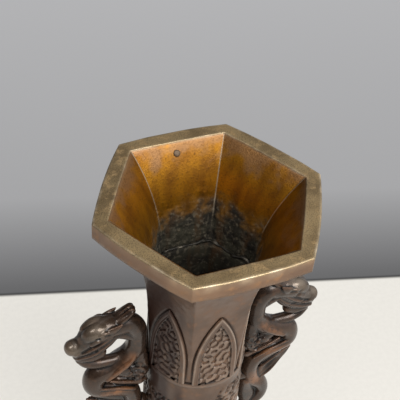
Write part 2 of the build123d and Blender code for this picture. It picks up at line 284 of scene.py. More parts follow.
def patina(name, look):
    # cloudy brown oxide: broad and small clouds of colour with fine specks, pale where the mark for wear and
    # painted sheen is high, black where the mark for grime and painted shade is high; a third mark is painted
    # light, a dark red painted shade on the walls and a pale painted highlight on the dragons
    material, tree, shader = newMaterial(name)
    coordinates = coordinatesFrom(tree)
    broad = noiseFrom(tree, coordinates, look["cloud"], 4.0)
    small = noiseFrom(tree, coordinates, look["cloud"] * 6, 5.0)
    fine = noiseFrom(tree, coordinates, look["cloud"] * 45, 4.0)
    colour = tintFrom(tree, look["dark"], broad, (0.36, 0.64), look["mid"])
    colour = tintFrom(tree, colour, small, (0.5, 0.72), look["warm"])
    low, high, share = look["specks"]
    colour = tintFrom(tree, colour, fine, (low, high, 0.0, share), look["speck"])
    patchy = rangeFrom(tree, small, 0.3, 0.6, 0.45, 1.0)
    wornAndSheen = mathFrom(tree, "MULTIPLY", markFrom(tree, "wearAndSheen"), patchy)
    colour = mixFrom(tree, wornAndSheen, colour, look["wornAndSheen"])
    # the marks for painted light and for grime with painted shade, each mixed in with its own colour
    for mark in ("paintedLight", "grimeAndPaintedShade"):
        if mark in look:
            colour = mixFrom(tree, markFrom(tree, mark), colour, look[mark])
    feed(tree, shader, {
        "Base Color": colour, "Roughness": rangeFrom(tree, small, 0.3, 0.7, *look["gloss"]),
        "Metallic": look["metal"], "Specular IOR Level": look["sheen"],
        "Coat Weight": look["coat"], "Coat Roughness": look["coatRough"],
    })
    addBump(tree, shader, fine, look["grain"], 0.35)
    return material


def mouthLining(name, look):
    # amber lacquer-like oxide near the rim, with downward streaks and a painted band of lighter reflected
    # light just under the rim, over a black-green crust lower down
    material, tree, shader = newMaterial(name)
    coordinates = coordinatesFrom(tree)
    split = feed(tree, tree.nodes.new("ShaderNodeSeparateXYZ"), {"Vector": coordinates})
    ragged = noiseFrom(tree, coordinates, 95.0, 6.0)
    streaks = noiseFrom(tree, coordinates, 120.0, 4.0, look["streakStretch"])
    lumps = noiseFrom(tree, coordinates, 420.0, 4.0)
    grains = noiseFrom(tree, coordinates, 900.0, 4.0)
    reach = look["ragged"] * millimetre
    wobble = mathFrom(tree, "MULTIPLY_ADD", ragged, reach, -0.5 * reach)
    level = mathFrom(tree, "ADD", split.outputs["Z"], wobble)
    crustLow, crustHigh = look["crustTop"]
    clean = rangeFrom(tree, level, crustLow * millimetre, crustHigh * millimetre)
    # painted reflected light: the colour lightens from a set height up to the rim
    bright = rangeFrom(tree, level, look["brightFrom"] * millimetre, rimZ * millimetre, 0.0, 0.75)
    amber = tintFrom(tree, look["deep"], streaks, (0.25, 0.75), look["amber"])
    amber = mixFrom(tree, bright, amber, look["paintedRimLightColour"])
    amber = tintFrom(tree, amber, grains, (0.52, 0.72, 0.0, 0.55), look["freckle"])
    crust = tintFrom(tree, look["crust"], ragged, (0.4, 0.62), look["green"])
    crust = tintFrom(tree, crust, streaks, (0.5, 0.68, 0.0, 0.8), look["brown"])
    crust = tintFrom(tree, crust, lumps, (0.5, 0.68, 0.0, 0.8), look["ash"])
    colour = mixFrom(tree, clean, crust, amber)
    colour = mixFrom(tree, markFrom(tree, "wearAndSheen"), colour, look["wornAndSheen"])
    colour = mixFrom(tree, markFrom(tree, "grimeAndPaintedShade"), colour, look["crust"])
    feed(tree, shader, {
        "Base Color": colour, "Specular IOR Level": look["sheen"],
        "Metallic": rangeFrom(tree, clean, 0.0, 1.0, *look["metal"]),
        "Roughness": rangeFrom(tree, clean, 0.0, 1.0, *look["rough"]),
    })
    addBump(tree, shader, grains, 0.25, 0.4)
    return material


plainLook = {"coat": 0.0, "coatRough": 0.3, "specks": (0.6, 0.75, 0.5)}
# in each look the colour for painted light is a dark red painted shade on the walls and a pale painted
# highlight on the dragons; the pale colour for wear also paints sheen on the dragons and glints on the
# solder, and the near-black colour for grime also paints shade in grooves, at the ledge and under the solder
# bead
looks = {
    "neckBronze": {
        **plainLook, "cloud": 28.0, "grain": 0.12, "gloss": (0.36, 0.55), "metal": 0.3, "sheen": 0.25,
        "coat": 0.25, "coatRough": 0.12, "paintedLight": (0.03, 0.011, 0.008),
        "dark": (0.098, 0.06, 0.04), "mid": (0.185, 0.113, 0.075), "warm": (0.23, 0.125, 0.072),
        "speck": (0.12, 0.09, 0.075), "wornAndSheen": (0.5, 0.4, 0.32), "grimeAndPaintedShade": (0.012, 0.008, 0.007),
    },
    "rimBronze": {
        **plainLook, "cloud": 32.0, "grain": 0.1, "gloss": (0.32, 0.5), "metal": 0.5, "sheen": 0.4,
        "paintedLight": (0.07, 0.035, 0.025),
        "dark": (0.21, 0.125, 0.078), "mid": (0.3, 0.18, 0.108), "warm": (0.37, 0.205, 0.105),
        "speck": (0.16, 0.105, 0.07), "wornAndSheen": (0.62, 0.48, 0.33), "grimeAndPaintedShade": (0.015, 0.01, 0.008),
    },
    "lipBronze": {
        **plainLook, "cloud": 40.0, "grain": 0.1, "gloss": (0.42, 0.58), "metal": 0.85, "sheen": 0.5,
        "specks": (0.46, 0.64, 0.85), "paintedLight": (0.1, 0.065, 0.03),
        "dark": (0.22, 0.15, 0.073), "mid": (0.41, 0.294, 0.148), "warm": (0.46, 0.315, 0.155),
        "speck": (0.13, 0.095, 0.055), "wornAndSheen": (0.66, 0.55, 0.4), "grimeAndPaintedShade": (0.02, 0.014, 0.01),
    },
    "dragonBronze": {
        **plainLook, "cloud": 45.0, "grain": 0.06, "gloss": (0.24, 0.38), "metal": 0.4, "sheen": 0.45,
        "coat": 0.3, "coatRough": 0.14, "paintedLight": (0.23, 0.185, 0.137),
        "dark": (0.028, 0.018, 0.013), "mid": (0.064, 0.038, 0.025), "warm": (0.085, 0.045, 0.026),
        "speck": (0.04, 0.028, 0.021), "wornAndSheen": (0.29, 0.125, 0.052), "grimeAndPaintedShade": (0.006, 0.005, 0.005),
    },
    "solderGrey": {
        **plainLook, "cloud": 60.0, "grain": 0.2, "gloss": (0.4, 0.65), "metal": 0.5, "sheen": 0.4,
        "dark": (0.14, 0.12, 0.095), "mid": (0.26, 0.23, 0.18), "warm": (0.2, 0.17, 0.12),
        "speck": (0.05, 0.045, 0.035), "wornAndSheen": (0.5, 0.46, 0.38), "grimeAndPaintedShade": (0.02, 0.018, 0.014),
    },
    "plugGrey": {
        **plainLook, "cloud": 300.0, "grain": 0.1, "gloss": (0.45, 0.6), "metal": 0.4, "sheen": 0.4,
        "dark": (0.09, 0.057, 0.032), "mid": (0.13, 0.085, 0.05), "warm": (0.15, 0.085, 0.038),
        "speck": (0.06, 0.042, 0.027), "wornAndSheen": (0.18, 0.13, 0.085), "grimeAndPaintedShade": (0.045, 0.03, 0.017),
    },
}
liningLook = {
    "crustTop": (246.0, 264.0), "ragged": 44.0, "brightFrom": 279.0, "streakStretch": (1.0, 1.0, 0.16),
    "metal": (0.1, 0.7), "rough": (0.88, 0.4), "sheen": 0.25,
    "deep": (0.15, 0.058, 0.005), "amber": (0.3, 0.13, 0.006), "paintedRimLightColour": (0.2, 0.108, 0.05),
    "crust": (0.014, 0.012, 0.009), "green": (0.032, 0.03, 0.02), "ash": (0.09, 0.078, 0.056),
    "wornAndSheen": (0.36, 0.3, 0.22), "freckle": (0.08, 0.032, 0.006), "brown": (0.055, 0.03, 0.013),
}
metals = {name: patina(name, look) for name, look in looks.items()}
amberLining = mouthLining("amberLining", liningLook)
print("materials made")


# Painted shade: a dark red darkening lies round one way, in degrees, and runs out in streaks beside it
paintedLight = {"way": 197.0, "spread": (0.78, 1.0), "depth": 0.9}


def paintedShadeMark(points):
    # painted shade: share of the way round towards the shaded side, broken by tall streaks
    way = np.exp(1j * math.radians(paintedLight["way"]))
    spot = points[..., 0] + 1j * points[..., 1]
    towards = (spot * way.conjugate()).real / np.maximum(np.abs(spot), 1e-6)
    streaks = waveNoise(points * np.array([1.0, 1.0, 0.25]), 14.0, 61)
    return paintedLight["depth"] * smoothStep(towards + 0.1 * streaks, *paintedLight["spread"])


# Leaf panels: a pointed arch on each face, with a raised border, a fine line along it and curls inside
leafShape = {
    "width": 26.6, "shoulder": 16.0, "border": 3.6, "relief": 1.3, "floor": -0.3, "sunk": 1.1,
    "line": 2.2, "lineDepth": 0.15, "lineWidth": 0.4, "carving": 1.25,
}
leafCurls = {"pitch": 4.5, "cut": 0.05}
leaves = {
    "neck": {**leafShape, "length": 58.0, "rows": 170, "columns": 110, "worm": {**leafCurls, "seed": 11}},
    "foot": {**leafShape, "length": 46.0, "rows": 130, "columns": 100, "worm": {**leafCurls, "seed": 23}},
}
backShares = (1.0, 0.3, -0.3, -1.0)  # places across a leaf's hidden back


def leafHalfWidth(rise, leaf):
    # straight sides up to the shoulder, then an arc that leaves them smoothly and ends at the tip;
    # past the tip the width is well below nothing
    half = leaf["width"] / 2
    climb = leaf["length"] - leaf["shoulder"]
    radius = (half**2 + climb**2) / (2 * half)
    above = np.clip(rise - leaf["shoulder"], 0.0, climb)
    inside = half - radius + np.sqrt(radius**2 - above**2)
    return np.where(rise > leaf["length"], -9.0, np.maximum(inside, 0.0))


def leafRelief(across, rise, leaf):
    # height by distance from the edge: rounded rim, flat border with a fine line, then curls on a sunk floor
    half = leafHalfWidth(rise, leaf)
    slope = np.gradient(half, axis=0) / np.gradient(rise, axis=0)
    edge = (half - np.abs(across)) / np.sqrt(1 + slope**2)
    line = bell(edge, leaf["line"], leaf["lineWidth"])
    border = leaf["relief"] * (0.55 + 0.45 * smoothStep(edge, 0.0, 0.7)) - leaf["lineDepth"] * line
    inside = smoothStep(edge, leaf["border"] - 0.5, leaf["border"] + 0.1)
    curls = wormRelief(across, rise, leaf["worm"])
    height = border * (1 - inside) + (leaf["floor"] + leaf["carving"] * curls) * inside
    grimeAndPaintedShade = inside * (1 - curls) * 1.1 + 0.25 * line
    grimeAndPaintedShade = np.maximum(grimeAndPaintedShade, 0.8 * bell(edge, leaf["border"] + 0.2, 0.5))
    rim = (1 - inside) * smoothStep(edge, 0.0, 0.3) * (1 - smoothStep(edge, 0.5, 1.2))
    wearAndSheen = 0.6 * rim + 0.3 * inside * curls
    return height, np.clip(grimeAndPaintedShade, 0, 1), np.clip(wearAndSheen, 0, 1)


def leafPanel(face, leaf, baseZ, up, sizeAt):
    # the front is a grid of across and rise, laid on the casting's wall; the ring closes inside the wall
    columns = leaf["columns"] + len(backShares)
    rise = np.repeat(np.linspace(0.0, leaf["length"], leaf["rows"])[:, None], columns, axis=1)
    share = np.concatenate([np.linspace(-1.0, 1.0, leaf["columns"]), backShares])
    across = share * leafHalfWidth(rise, leaf)
    worm = {**leaf["worm"], "seed": leaf["worm"]["seed"] + face}
    height, grimeAndPaintedShade, wearAndSheen = leafRelief(across, rise, {**leaf, "worm": worm})
    height = np.where(np.arange(columns) >= leaf["columns"], -leaf["sunk"], height)
    corners, rounding = sizeAt(rise)
    reach = corners / 2 - rounding
    lean = np.arcsin(np.clip((np.abs(across) - reach / 2) / rounding, 0.0, 1.0))
    depth = reach * cos30 + (rounding + height) * np.cos(lean)
    aside = across + np.sign(across) * height * np.sin(lean)
    spot = (depth + 1j * aside) * np.exp(1j * math.radians(30 + 60 * face))
    points = raised(spot, baseZ + up * rise)
    # the neck's leaves share the dark red painted shade on one side
    marks = {"grimeAndPaintedShade": grimeAndPaintedShade, "wearAndSheen": wearAndSheen, "paintedLight": paintedShadeMark(points) * (up > 0)}
    return ringSurface(points), {mark: np.append(values, [0.0, 0.0]) for mark, values in marks.items()}


def leafGroove(rings, leaf, baseZ, up):
    # a groove in the wall just outside the leaf's edge; its shape also paints shade into the groove
    spot = rings[..., 0] + 1j * rings[..., 1]
    face = np.floor(np.angle(spot) / (math.pi / 3))
    across = (spot * np.exp(-1j * (face + 0.5) * math.pi / 3)).imag
    rise = up * (rings[..., 2] - baseZ)
    edge = np.abs(across) - leafHalfWidth(np.maximum(rise, 0.0), leaf)
    return bell(edge, 0.3, 0.85) * (rise < leaf["length"] + 1.2)


def makeLeaves(part, baseZ, up, sizeAt):
    for face in range(6):
        surface, marks = leafPanel(face, leaves[part], baseZ, up, sizeAt)
        piece = makePiece(f"{part}Leaf{face + 1}", [surface], [metals["neckBronze"]], None, marks)
        place(piece, "patinated_bronze")


# Mouth and neck, one casting: outside, lip, lining and socket as one closed ring of profiles
neck = {
    "flareTop": 11.2, "lipHeight": 9.8, "bandRows": (0.0, 2.0, 4.0), "lipWidth": 7.6, "edge": 0.8,
    "innerEdge": 0.5, "power": 6.0, "innerPower": 4.5, "rowPower": 1.25, "outerRows": 96, "topRows": 9,
    "edgeRows": 5, "liningRows": 96, "arcSteps": 14, "flatSteps": 58, "groove": 0.85,
    "bow": 1.8, "innerBow": 0.2, "bowFrom": 40.0,
    "crustTop": (246.0, 266.0), "crustRagged": 9.0, "ridgeFrom": (225.0, 255.0), "ridgeWidth": 9.0,
}
flareCorners = mouthCorners - 2 * castings["lipDraw"]
lipInner = insetCorners(mouthCorners, neck["lipWidth"])


def neckSize(rise):
    t = np.clip(rise / (rimZ - neck["flareTop"] - ledgeZ), 0.0, 1.0)
    return flareSize(castings["neckCorners"], flareCorners, neck["power"], t, castings["neckLean"])


def liningSize(z):
    share = (z - ledgeZ) / (rimZ - ledgeZ)
    socket, sharp = castings["socketCorners"], castings["lipRounding"]
    corners = socket + (lipInner - socket) * share ** neck["innerPower"]
    return corners, sharp + (castings["boreRounding"] - sharp) * (1 - share)


def neckProfile():
    # heights, sizes and zones of the rings: 0 outside, 1 lip, 2 lining, 3 socket
    flareRows = 1 - (1 - np.linspace(0, 1, neck["outerRows"])) ** neck["rowPower"]
    outZ = ledgeZ + (rimZ - neck["flareTop"] - ledgeZ) * flareRows
    outCorners, outRounding = neckSize(outZ - ledgeZ)
    bend = np.radians(np.linspace(0, 90, neck["edgeRows"]))
    inset = np.concatenate([
        np.zeros(len(neck["bandRows"])),
        neck["edge"] * (1 - np.cos(bend)),
        np.linspace(neck["edge"], neck["lipWidth"] - neck["innerEdge"], neck["topRows"])[1:-1],
        neck["lipWidth"] - neck["innerEdge"] * (1 - np.sin(bend)),
    ])
    lipZ = np.concatenate([
        rimZ - neck["lipHeight"] + np.array(neck["bandRows"]),
        rimZ - neck["edge"] * (1 - np.sin(bend)),
        np.full(neck["topRows"] - 2, rimZ),
        rimZ - neck["innerEdge"] * (1 - np.cos(bend)),
    ])
    liningTop = rimZ - neck["innerEdge"]
    inZ = liningTop - (liningTop - seamZ) * np.linspace(0, 1, neck["liningRows"] + 1)[1:]
    inCorners, inRounding = liningSize(inZ)
    socketZ = np.array([seamZ, (seamZ + ledgeZ) / 2, ledgeZ])
    counts = (len(outZ), len(lipZ), len(inZ), len(socketZ))
    z = np.concatenate([outZ, lipZ, inZ, socketZ])
    socket = np.full(len(socketZ), castings["socketCorners"])
    corners = np.concatenate([outCorners, insetCorners(mouthCorners, inset), inCorners, socket])
    sharp = np.full(len(lipZ), castings["lipRounding"])
    soft = np.full(len(socketZ), castings["boreRounding"])
    rounding = np.concatenate([outRounding, sharp, inRounding, soft])
    return z, corners, rounding, np.repeat(np.arange(4), counts)


def lipBow(z, corners, zone):
    # the mouth's sides bow outwards: fully at the lip's outer edge, little at its inner edge, not below
    share = flatShares(neck["flatSteps"])
    arch = np.tile(np.concatenate([np.zeros(neck["arcSteps"]), 4 * share * (1 - share)]), 6)
    inset = (mouthCorners - corners) * cos30 / 2
    outside = smoothStep(z, rimZ - neck["bowFrom"], rimZ - neck["flareTop"])
    lip = 1 - (1 - neck["innerBow"]) * np.clip(inset / neck["lipWidth"], 0.0, 1.0)
    lining = neck["innerBow"] * smoothStep(z, rimZ - neck["bowFrom"], rimZ)
    strength = np.choose(np.minimum(zone, 2), [outside, lip, lining])
    return neck["bow"] * strength[:, None] * arch


def neckWear(rings, z, corners, lip, lining, crust):
    # bright along the lip's two edges, in uneven patches, and down the lining's ridges as far as the crust
    bend = np.concatenate([np.linspace(-30, 30, neck["arcSteps"]), np.full(neck["flatSteps"], 90.0)])
    ridge = np.tile(bell(bend, 0.0, neck["ridgeWidth"]), 6) * smoothStep(rings[..., 2], *neck["ridgeFrom"])
    inset = (mouthCorners - corners)[:, None] * cos30 / 2
    edges = bell(inset, 0.3, 0.5) * (z > rimZ - 1.2)[:, None] + 0.6 * bell(inset, neck["lipWidth"], 0.5)
    nicks = smoothStep(waveNoise(rings, 11.0, 10), -0.4, 1.0)
    return np.maximum(lip * edges * (0.35 + 0.65 * nicks), lining * (1 - 0.85 * crust) * ridge * 0.9)


def makeNeck():
    z, corners, rounding, zone = neckProfile()
    columns = hexColumns(neck["arcSteps"], neck["flatSteps"])
    rings = hexRings(z, corners, rounding, columns)
    outside, lip, lining = (zone[:, None] == 0), (zone[:, None] == 1), (zone[:, None] == 2)
    groove = leafGroove(rings, leaves["neck"], ledgeZ, 1) * outside
    crustLevel = rings[..., 2] + neck["crustRagged"] * waveNoise(rings, 22.0, 5)
    crust = lining * (1 - smoothStep(crustLevel, *neck["crustTop"]))
    lift = 0.12 * waveNoise(rings, 30.0, 1) * (outside | lip) - neck["groove"] * groove
    lift += 0.05 * waveNoise(rings, 5.0, 2) * outside
    lift -= crust * (0.32 * waveNoise(rings, 2.6, 3) + 0.35 * waveNoise(rings, 7.0, 4))
    lift += lining * (1 - crust) * 0.07 * waveNoise(rings, 12.0, 6)
    lift += lipBow(z, corners, zone)
    rings = hexRings(z, corners, rounding, columns, lift)
    rings[..., 2] += lip * 0.07 * waveNoise(rings, 14.0, 7)
    onBand = lip & (mouthCorners - corners < neck["edge"] / cos30)[:, None]
    marks = {
        "wearAndSheen": neckWear(rings, z, corners, lip, lining, crust),
        # painted shade in the groove round each leaf, and in a band at the foot of the neck above the ledge
        "grimeAndPaintedShade": np.maximum(groove * 0.9, bell(rings[..., 2], ledgeZ, 1.2) * outside),
        # dark red painted shade on one side, fainter on the lip's band
        "paintedLight": paintedShadeMark(rings) * (outside + 0.4 * onBand),
    }
    quadZone = np.minimum(np.maximum(zone, np.roll(zone, -1)), 2)
    quadZone[-1] = 0
    flareQuads = neck["outerRows"] - 1
    quadZone[:flareQuads] = 0
    quadZone[flareQuads : flareQuads + 1 + len(neck["bandRows"])] = 3
    zones = np.repeat(quadZone[:, None], rings.shape[1], axis=1)
    materials = [metals["neckBronze"], metals["lipBronze"], amberLining, metals["rimBronze"]]
    piece = makePiece("neckCasting", [ringSurface(rings, closedRows=True)], materials, zones, marks)
    return place(piece, "patinated_bronze", "mouth_neck")


makeNeck()
makeLeaves("neck", ledgeZ, 1, neckSize)
print("neck and its leaves made")


# Middle casting: nearly round, beads at both ends, scrolls on a ground of strokes between plain margins,
# and the hidden spigots; the ground reaches further up and down in two lobes
middle = {
    "corners": 61.4, "rounding": 28.0, "beadHeight": 4.0, "beadStep": 0.6, "plainBand": 4.6,
    "groundFrom": 10.5, "groundDrop": 11.0, "lobeAt": 296.0, "lobeSide": (14.0, 24.0), "fade": 1.5,
    "carving": 1.0, "wall": 3.2, "taper": 12.0, "spigotCorners": 57.66, "footSpigotCorners": 56.9,
    "footBore": 52.9, "boreFlare": 3.0, "boreFade": 5.0, "boreRows": 24, "rows": 136, "beadRows": 9,
    "arcSteps": 58, "flatSteps": 12, "worm": {"pitch": 3.6, "cut": 0.05, "seed": 31, "loop": 193.0},
}

# S-shaped scrolls in rows round the middle casting
scrolls = {
    "radius": 3.3, "width": 3.0, "sweep": 230.0, "lean": 45.0, "columns": 12, "rows": 4, "margin": 9.0,
    "relief": 0.7,
}
farAway = 99.0  # distance where no scroll is near


def scrollDistance(across, along):
    # distance to the nearer of a scroll's two bends, each an arc about a centre beside the scroll's middle;
    # every other column stands half a row higher
    cellWidth = middle["worm"]["loop"] / scrolls["columns"]
    cellHeight = (ledgeZ - footTop - 2 * scrolls["margin"]) / scrolls["rows"]
    column = np.floor(across / cellWidth)
    along = along - cellHeight * (0.5 * np.mod(column, 2) - 0.25)
    row = np.floor(along / cellHeight)
    local = across - (column + 0.5) * cellWidth + 1j * (along - (row + 0.5) * cellHeight)
    local = local * np.exp(-1j * math.radians(scrolls["lean"]) * (1 - 2 * np.mod(row + column, 2)))
    radius, sweep = scrolls["radius"], math.radians(scrolls["sweep"])
    tip = -1j * radius * np.exp(1j * sweep)
    nearest = np.full(across.shape, farAway)
    for side in (1, -1):
        spot = side * local - 1j * radius
        onArc = np.mod(np.angle(spot) + math.pi / 2, fullTurn) < sweep
        toEnds = np.minimum(np.abs(spot - tip), np.abs(spot + 1j * radius))
        nearest = np.minimum(nearest, np.where(onArc, np.abs(np.abs(spot) - radius), toEnds))
    return np.where((row >= 0) & (row < scrolls["rows"]), nearest, farAway)


def middleProfile():
    # the outside with its beads, then the upper spigot, the bore, the cavity and the lower spigot
    halfBead = middle["beadHeight"] / 2
    bead = np.sin(np.radians(np.linspace(-90, 90, middle["beadRows"]))) * halfBead
    lowBead = footTop + halfBead + bead
    highBead = ledgeZ - halfBead + bead
    bodyZ = np.linspace(lowBead[-1], highBead[0], middle["rows"])[1:-1]
    outZ = np.concatenate([lowBead, bodyZ, highBead])
    fromEnd = np.minimum(outZ - footTop, ledgeZ - outZ)
    bulge = np.sqrt(np.clip(1 - ((fromEnd - halfBead) / halfBead) ** 2, 0.0, 1.0))
    onBead = fromEnd < middle["beadHeight"]
    outCorners = middle["corners"] + 2 * middle["beadStep"] * bulge * onBead
    cavity = middle["corners"] - 2 * middle["wall"]
    bore, soft = castings["boreRounding"], middle["rounding"] - middle["wall"]
    hidden = [(ledgeZ, middle["spigotCorners"], bore), (seamZ, middle["spigotCorners"], bore)]
    for z in np.linspace(seamZ, ledgeZ, middle["boreRows"]):
        flare = middle["boreFlare"] * math.exp((z - seamZ) / middle["boreFade"])
        hidden.append((z, castings["boreCorners"] + flare, bore))
    hidden += [
        (ledgeZ - middle["taper"], cavity, soft), (footTop + middle["taper"], cavity, soft),
        (footTop, middle["footBore"], bore), (spigotLow, middle["footBore"], bore),
        (spigotLow, middle["footSpigotCorners"], bore), (footTop, middle["footSpigotCorners"], bore),
    ]
    rest = np.array(hidden)
    z = np.concatenate([outZ, rest[:, 0]])
    corners = np.concatenate([outCorners, rest[:, 1]])
    rounding = np.concatenate([np.full(len(outZ), middle["rounding"]), rest[:, 2]])
    return z, corners, rounding, (np.arange(len(z)) < len(outZ))[:, None]


def makeMiddle():
    z, corners, rounding, outer = middleProfile()
    columns = hexColumns(middle["arcSteps"], middle["flatSteps"])
    rings = hexRings(z, corners, rounding, columns)
    angle = np.mod(np.angle(rings[..., 0] + 1j * rings[..., 1]), fullTurn)
    across = angle / fullTurn * middle["worm"]["loop"]
    height = rings[..., 2]
    fromEnd = np.minimum(height - footTop, ledgeZ - height)
    band = smoothStep(fromEnd, middle["plainBand"], middle["plainBand"] + 0.8) * outer
    fromLobe = np.abs(np.mod(np.degrees(angle) - middle["lobeAt"] + 90, 180) - 90)
    start = middle["groundFrom"] + middle["groundDrop"] * smoothStep(fromLobe, *middle["lobeSide"])
    carved = smoothStep(fromEnd, start, start + middle["fade"])
    distance = scrollDistance(across, height - footTop - scrolls["margin"])
    scroll = 1 - smoothStep(distance, scrolls["width"] / 2 - 0.5, scrolls["width"] / 2 + 0.35)
    scroll = scroll * smoothStep(fromEnd, start - 2 * middle["fade"], start + middle["fade"])
    curls = wormRelief(across, height, middle["worm"])
    ground = middle["carving"] * (curls - 0.6) * (1 - scroll) * carved
    lift = band * (scrolls["relief"] * scroll + ground) + 0.1 * waveNoise(rings, 26.0, 9) * outer
    inBore = ~outer & (corners < castings["boreCorners"] + middle["boreFlare"] + 0.1)[:, None]
    boreCrust = 0.45 * waveNoise(rings, 3.0, 8) + 0.5 * waveNoise(rings, 8.0, 18)
    lift = lift - np.abs(boreCrust) * inBore * (height > ledgeZ + 1)
    rings = hexRings(z, corners, rounding, columns, lift)
    # painted shade: a dark line along the top edge where the neck sits on the middle
    paintedLedgeShade = bell(rings[..., 2], ledgeZ, 0.7) * (corners < middle["corners"] + 0.5)[:, None]
    marks = {
        "wearAndSheen": band * scroll * 0.2 + bell(fromEnd, middle["beadHeight"] / 2, 1.2) * outer * 0.25,
        "grimeAndPaintedShade": np.maximum(band * (1 - curls) * (1 - scroll) * carved * 0.85, paintedLedgeShade * 0.9),
        # dark red painted shade on one side of the outside
        "paintedLight": paintedShadeMark(rings) * outer,
    }
    zones = np.repeat((~outer).astype(int), rings.shape[1], axis=1)
    materials = [metals["neckBronze"], amberLining]
    piece = makePiece("middleCasting", [ringSurface(rings, closedRows=True)], materials, zones, marks)
    return place(piece, "patinated_bronze", "middle_section")


makeMiddle()
print("middle casting made")


# Foot casting, the neck's flare turned over, with a plain base band and an open hollow
foot = {
    "flareEnd": 12.5, "baseHeight": 10.0, "bandShares": (1.0, 0.6, 0.3), "power": 3.0, "wall": 3.4,
    "restLow": 71.0, "floorLow": 75.0, "floorOpening": 49.9, "edge": 0.8, "outerRows": 84, "edgeRows": 5,
    "hollowRows": 40, "arcSteps": 24, "flatSteps": 40, "groove": 0.45,
}
footFlare = baseCorners - 2 * castings["lipDraw"]


def footSize(drop):
    t = np.clip(drop / (footTop - foot["flareEnd"]), 0.0, 1.0)
    return flareSize(castings["footNeckCorners"], footFlare, foot["power"], t)


def footProfile():
    # the outside, the base band with its rounded edge, then the hollow, the rest for the floor and the socket
    outZ = footTop + (foot["flareEnd"] - footTop) * np.linspace(0, 1, foot["outerRows"])
    outCorners, outRounding = footSize(footTop - outZ)
    bend = np.radians(np.linspace(0, 90, foot["edgeRows"]))
    upright = foot["baseHeight"] * np.array(foot["bandShares"])
    bandZ = np.concatenate([upright, foot["edge"] * (1 - np.sin(bend))])
    inset = np.concatenate([np.zeros(len(upright)), foot["edge"] * (1 - np.cos(bend))])
    hollowZ = np.linspace(foot["flareEnd"], foot["restLow"], foot["hollowRows"])
    hollowCorners = footSize(footTop - hollowZ)[0] - 2 * foot["wall"]
    socket = castings["footNeckCorners"] - 2 * foot["wall"]
    ends = np.array([
        (foot["restLow"], foot["floorOpening"]), (foot["floorLow"], foot["floorOpening"]),
        (foot["floorLow"], socket), (footTop, socket),
    ])
    z = np.concatenate([outZ, bandZ, [0.0], hollowZ, ends[:, 0]])
    bandCorners = insetCorners(baseCorners, inset)
    corners = np.concatenate([outCorners, bandCorners, hollowCorners[:1], hollowCorners, ends[:, 1]])
    sharp = np.full(len(bandZ), castings["lipRounding"])
    soft = np.full(1 + len(hollowZ) + len(ends), castings["boreRounding"])
    return z, corners, np.concatenate([outRounding, sharp, soft]), len(bandZ)


def makeFoot():
    z, corners, rounding, bandRows = footProfile()
    columns = hexColumns(foot["arcSteps"], foot["flatSteps"])
    rings = hexRings(z, corners, rounding, columns)
    row = np.arange(len(z))[:, None]
    outside = row < foot["outerRows"]
    inner = row >= foot["outerRows"] + bandRows
    groove = leafGroove(rings, leaves["foot"], footTop, -1) * outside
    lift = 0.12 * waveNoise(rings, 30.0, 12) * (row > 1) * ~inner - foot["groove"] * groove
    inHollow = inner & (rings[..., 2] > 1) & (rings[..., 2] < foot["restLow"] - 1)
    lift += 0.25 * waveNoise(rings, 4.0, 13) * inHollow
    rings = hexRings(z, corners, rounding, columns, lift)
    wearAndSheen = 0.7 * bell(rings[..., 2], 0.4, 0.6) + 0.4 * bell(rings[..., 2], foot["baseHeight"], 0.7)
    # painted shade in the groove round each leaf, beside pale wear on the base band's edges
    marks = {"wearAndSheen": wearAndSheen * ~inner, "grimeAndPaintedShade": groove * 0.9}
    zones = np.repeat(inner.astype(int), rings.shape[1], axis=1)
    materials = [metals["neckBronze"], amberLining]
    piece = makePiece("footCasting", [ringSurface(rings, closedRows=True)], materials, zones, marks)
    return place(piece, "patinated_bronze", "foot")


makeFoot()
makeLeaves("foot", footTop, -1, footSize)
print("foot and its leaves made")


# Dragon handles: tubes along listed routes, fused by a fine voxel grid, then carved point by point.
# A knot is (outwards, up, sideways, half height, half width), from the tang's root at the upper seat.
dragon = {
    "root": 36.7, "voxel": 0.42, "sides": 40, "perSpan": 10, "capRows": 7, "nape": (9.0, 45.0),
    "jawTop": 38.0, "strokes": {"pitch": 4.0, "cut": 0.05, "depth": 0.75},
    "left": {"seatZ": 158.0, "pitch": 0.0, "jawOut": 0.0, "turn": 180.0, "seed": 41},
    "right": {"seatZ": 154.0, "pitch": -7.0, "jawOut": 3.5, "turn": 0.0, "seed": 47},
    "chestWay": (0.707, 0.0, -0.707), "chestFrom": -14.1, "chestSide": (0.707, 0.0, 0.707), "chestAt": 19.0,
}

